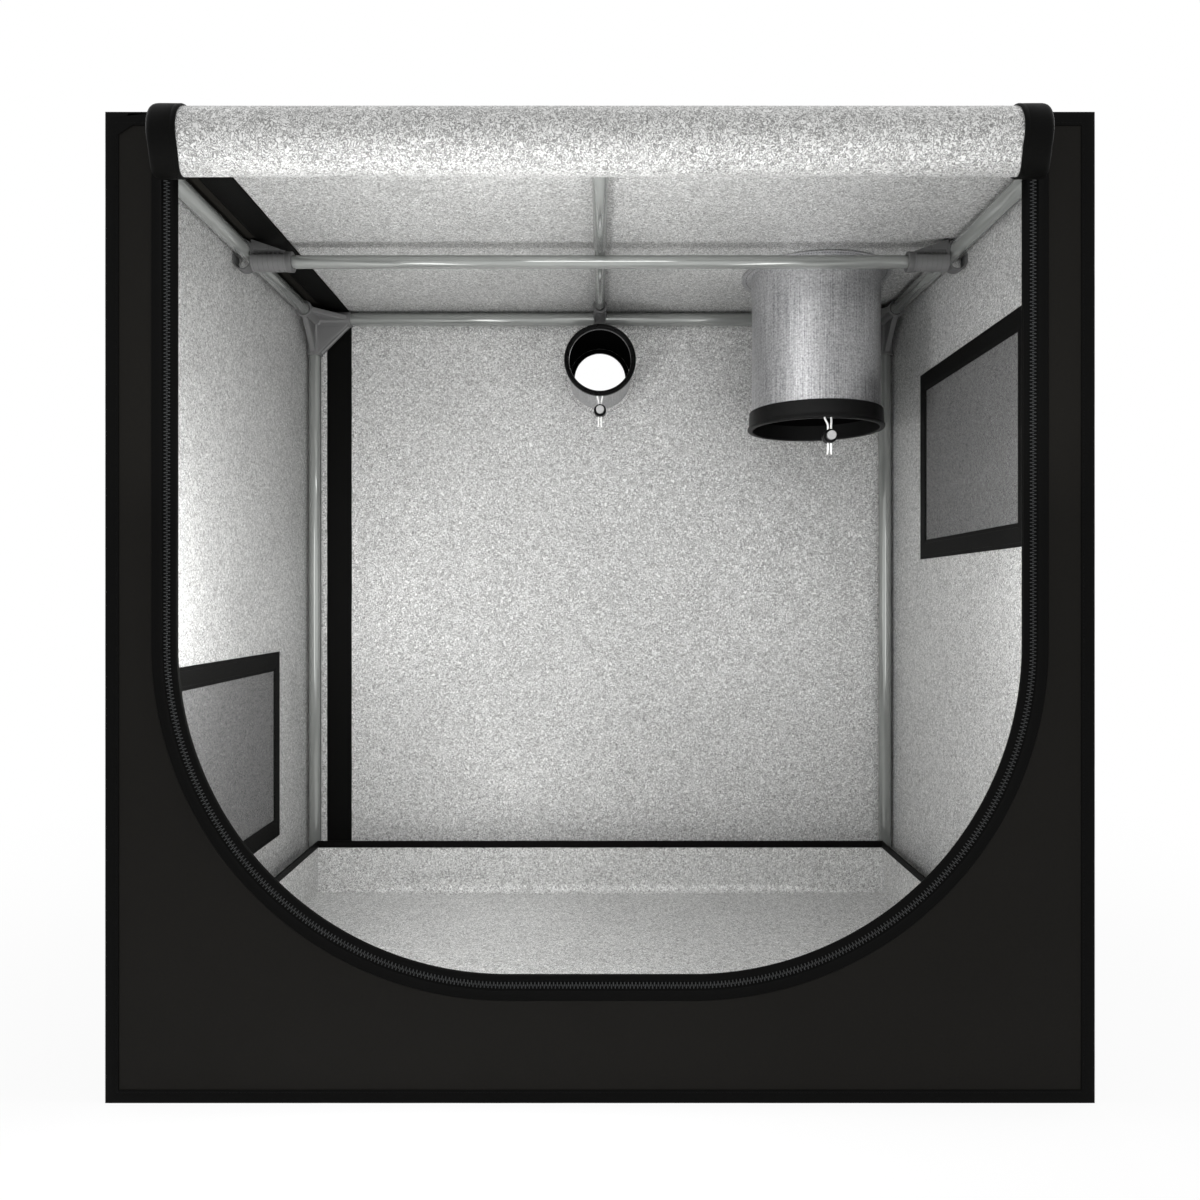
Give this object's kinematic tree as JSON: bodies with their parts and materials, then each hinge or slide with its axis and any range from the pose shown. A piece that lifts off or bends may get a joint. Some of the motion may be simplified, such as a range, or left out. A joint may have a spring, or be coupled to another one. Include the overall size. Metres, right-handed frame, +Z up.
{
  "type": "grow tent",
  "caption": "Box-shaped indoor grow tent with a pole frame, a reflective lining, a rolled front door, vent windows, duct collars, hanging bars and a floor tray.",
  "frame": {"origin": "middle of the underside, on the floor it stands on", "axes": "+X to the right seen from the door, +Y from the door to the back wall, +Z up"},
  "size_m": [0.9028, 0.6729, 0.902],
  "materials": {
    "pole_steel": "satin",
    "connector_plastic": "matt moulded",
    "cover_black": "coated woven cloth",
    "lining_silver": "reflective embossed film on cloth",
    "vent_net": "net",
    "trim_black": "woven tape",
    "zip_metal": "black painted casting",
    "lock_plastic": "moulded",
    "button_grey": "moulded",
    "cord_white": "braided"
  },
  "bodies": {
    "tent": {"pole_upright_front_left": "pole_steel", "pole_upright_front_right": "pole_steel", "pole_upright_back_left": "pole_steel", "pole_upright_back_right": "pole_steel", "pole_side_left_low": "pole_steel", "pole_side_left_top": "pole_steel", "pole_side_right_low": "pole_steel", "pole_side_right_top": "pole_steel", "pole_cross_front_low": "pole_steel", "pole_cross_front_top": "pole_steel", "pole_cross_back_low": "pole_steel", "pole_cross_back_top": "pole_steel", "corner_front_left_low": "connector_plastic", "corner_front_left_top": "connector_plastic", "corner_front_right_low": "connector_plastic", "corner_front_right_top": "connector_plastic", "corner_back_left_low": "connector_plastic", "corner_back_left_top": "connector_plastic", "corner_back_right_low": "connector_plastic", "corner_back_right_top": "connector_plastic", "front_panel": "cover_black", "back_panel": "cover_black", "left_wall": "cover_black", "right_wall": "cover_black", "roof_panel": "cover_black", "floor_panel": "cover_black", "seam_strip": "trim_black", "zip_track": "trim_black", "vent_frame_left": "trim_black", "vent_frame_right": "trim_black", "vent_net_left": "vent_net", "vent_net_right": "vent_net", "duct_sock": "lining_silver", "duct_sock_hem": "trim_black", "port_sleeve": "lining_silver", "port_ring": "trim_black", "sock_cord_left": "cord_white", "sock_cord_right": "cord_white", "port_cord_left": "cord_white", "port_cord_right": "cord_white"},
    "door": {"door_roll": "lining_silver", "door_edging": "trim_black"},
    "vent_flap_left": {"vent_flap_left": "cover_black"},
    "vent_flap_right": {"vent_flap_right": "cover_black"},
    "zip_slider_left": {"zip_slider_left": "zip_metal"},
    "zip_slider_right": {"zip_slider_right": "zip_metal"},
    "zip_pull_left": {"zip_pull_left": "zip_metal"},
    "zip_pull_right": {"zip_pull_right": "zip_metal"},
    "cross_bar": {"cross_bar": "pole_steel", "cross_bar_clip_left": "connector_plastic", "cross_bar_clip_right": "connector_plastic"},
    "centre_bar": {"centre_bar_front": "pole_steel", "centre_bar_rear": "pole_steel", "centre_bar_clip_front": "connector_plastic", "centre_bar_clip_back": "connector_plastic"},
    "floor_tray": {"floor_tray": "lining_silver"},
    "sock_lock": {"sock_cord_lock": "lock_plastic"},
    "sock_button": {"sock_lock_button": "button_grey"},
    "port_lock": {"port_cord_lock": "lock_plastic"},
    "port_button": {"port_lock_button": "button_grey"}
  },
  "joints": [
    {"name": "door_swing", "type": "hinge", "parent": "tent", "child": "door", "pos_m": [0, -0.3013, 0.8893], "axis": [-1, 0, 0], "range_deg": [0, 80]},
    {"name": "vent_flap_left_swing", "type": "hinge", "parent": "tent", "child": "vent_flap_left", "pos_m": [-0.4509, -0.0041, 0.386], "axis": [0, 1, 0], "range_deg": [0, 150]},
    {"name": "vent_flap_right_swing", "type": "hinge", "parent": "tent", "child": "vent_flap_right", "pos_m": [0.4509, -0.0041, 0.7717], "axis": [0, -1, 0], "range_deg": [0, 150]},
    {"name": "zip_left_slide", "type": "slide", "parent": "tent", "child": "zip_slider_left", "axis": [0, 0, -1], "range_m": [0, 0.43]},
    {"name": "zip_right_slide", "type": "slide", "parent": "tent", "child": "zip_slider_right", "axis": [0, 0, -1], "range_m": [0, 0.43]},
    {"name": "zip_pull_left_swing", "type": "hinge", "parent": "zip_slider_left", "child": "zip_pull_left", "pos_m": [-0.3938, -0.3084, 0.8765], "axis": [-1, 0, 0], "range_deg": [0, 160]},
    {"name": "zip_pull_right_swing", "type": "hinge", "parent": "zip_slider_right", "child": "zip_pull_right", "pos_m": [0.3938, -0.3084, 0.8765], "axis": [-1, 0, 0], "range_deg": [0, 160]},
    {"name": "cross_bar_slide", "type": "slide", "parent": "tent", "child": "cross_bar", "axis": [0, 1, 0], "range_m": [-0.2, 0.03]},
    {"name": "centre_bar_slide", "type": "slide", "parent": "tent", "child": "centre_bar", "axis": [1, 0, 0], "range_m": [-0.3, 0.15]},
    {"name": "floor_tray_lift", "type": "slide", "parent": "tent", "child": "floor_tray", "axis": [0, 0, 1], "range_m": [0, 0.3]},
    {"name": "sock_lock_slide", "type": "slide", "parent": "tent", "child": "sock_lock", "axis": [0, 0, 1], "range_m": [-0.01, 0.004]},
    {"name": "sock_button_press", "type": "slide", "parent": "sock_lock", "child": "sock_button", "axis": [0, 1, 0], "range_m": [0, 0.003], "stiffness_N_per_m": 200},
    {"name": "port_lock_slide", "type": "slide", "parent": "tent", "child": "port_lock", "axis": [0, 0, 1], "range_m": [-0.01, 0.004]},
    {"name": "port_button_press", "type": "slide", "parent": "port_lock", "child": "port_button", "axis": [0, 1, 0], "range_m": [0, 0.003], "stiffness_N_per_m": 200}
  ]
}
